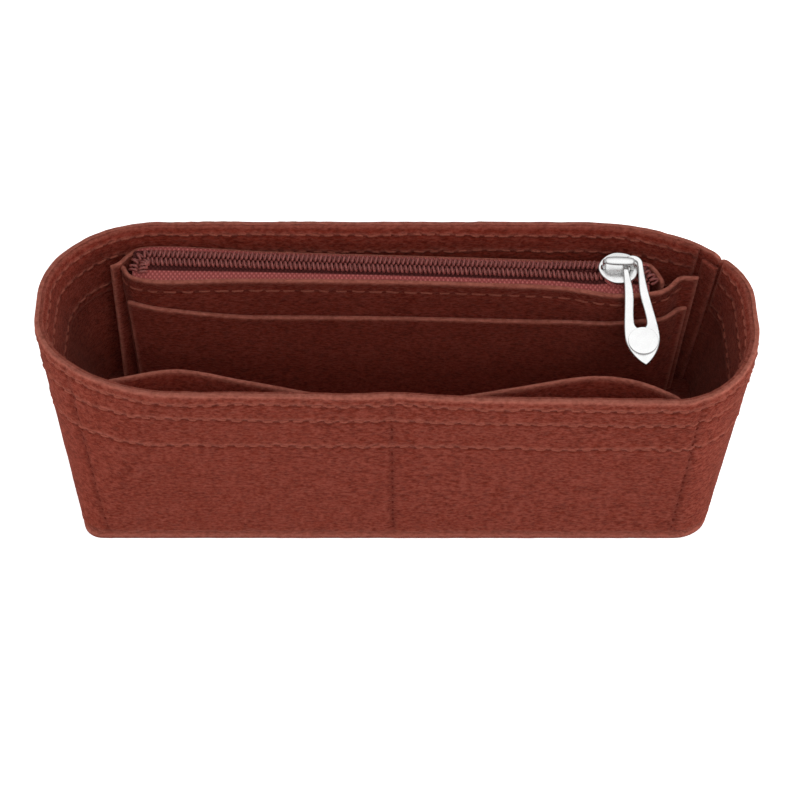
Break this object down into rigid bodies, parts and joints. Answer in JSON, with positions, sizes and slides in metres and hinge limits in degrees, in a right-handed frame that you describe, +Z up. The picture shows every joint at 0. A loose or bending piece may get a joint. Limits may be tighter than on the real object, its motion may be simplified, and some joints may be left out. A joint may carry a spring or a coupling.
{
  "type": "felt handbag organizer insert",
  "caption": "Low open felt tub that keeps a handbag tidy, with sewn front pockets, a zipped pouch along the back and a slip pocket on it.",
  "frame": {"origin": "under the middle of the base, on the surface it stands on", "axes": "+X along the rim, to the right as seen from the front; +Y to the rear, where the zipped pouch is; +Z up"},
  "size_m": [0.23, 0.0859, 0.0655],
  "materials": {
    "felt": "matt brick-brown polyester felt with a short pile",
    "zip_tape": "woven herringbone tape",
    "zip_coil": "dyed nylon coil, slightly glossy",
    "bright_metal": "bright plated die casting",
    "thread": "sewing thread dyed to match the felt"
  },
  "bodies": {
    "tub": {"outer_wall": "felt", "rim_facing": "felt", "seam_strip": "felt", "base_panel": "felt", "front_pockets": "felt", "pouch_back": "felt", "pouch_front": "felt", "slip_pocket": "felt", "zip_tape_front": "zip_tape", "zip_tape_rear": "zip_tape", "zip_coil_front": "zip_coil", "zip_coil_rear": "zip_coil"},
    "slider": {"slider_body": "bright_metal", "slider_bridge": "bright_metal"},
    "pull": {"puller": "bright_metal"}
  },
  "joints": [
    {"name": "slider_slide", "type": "slide", "parent": "tub", "child": "slider", "axis": [0.999, -0.0454, 0], "range_m": [-0.146, 0]},
    {"name": "puller_swing", "type": "hinge", "parent": "slider", "child": "pull", "pos_m": [0.07641, 0.02212, 0.06294], "axis": [0.0015, -0.3332, 0.9429], "range_deg": [-60, 40]}
  ]
}
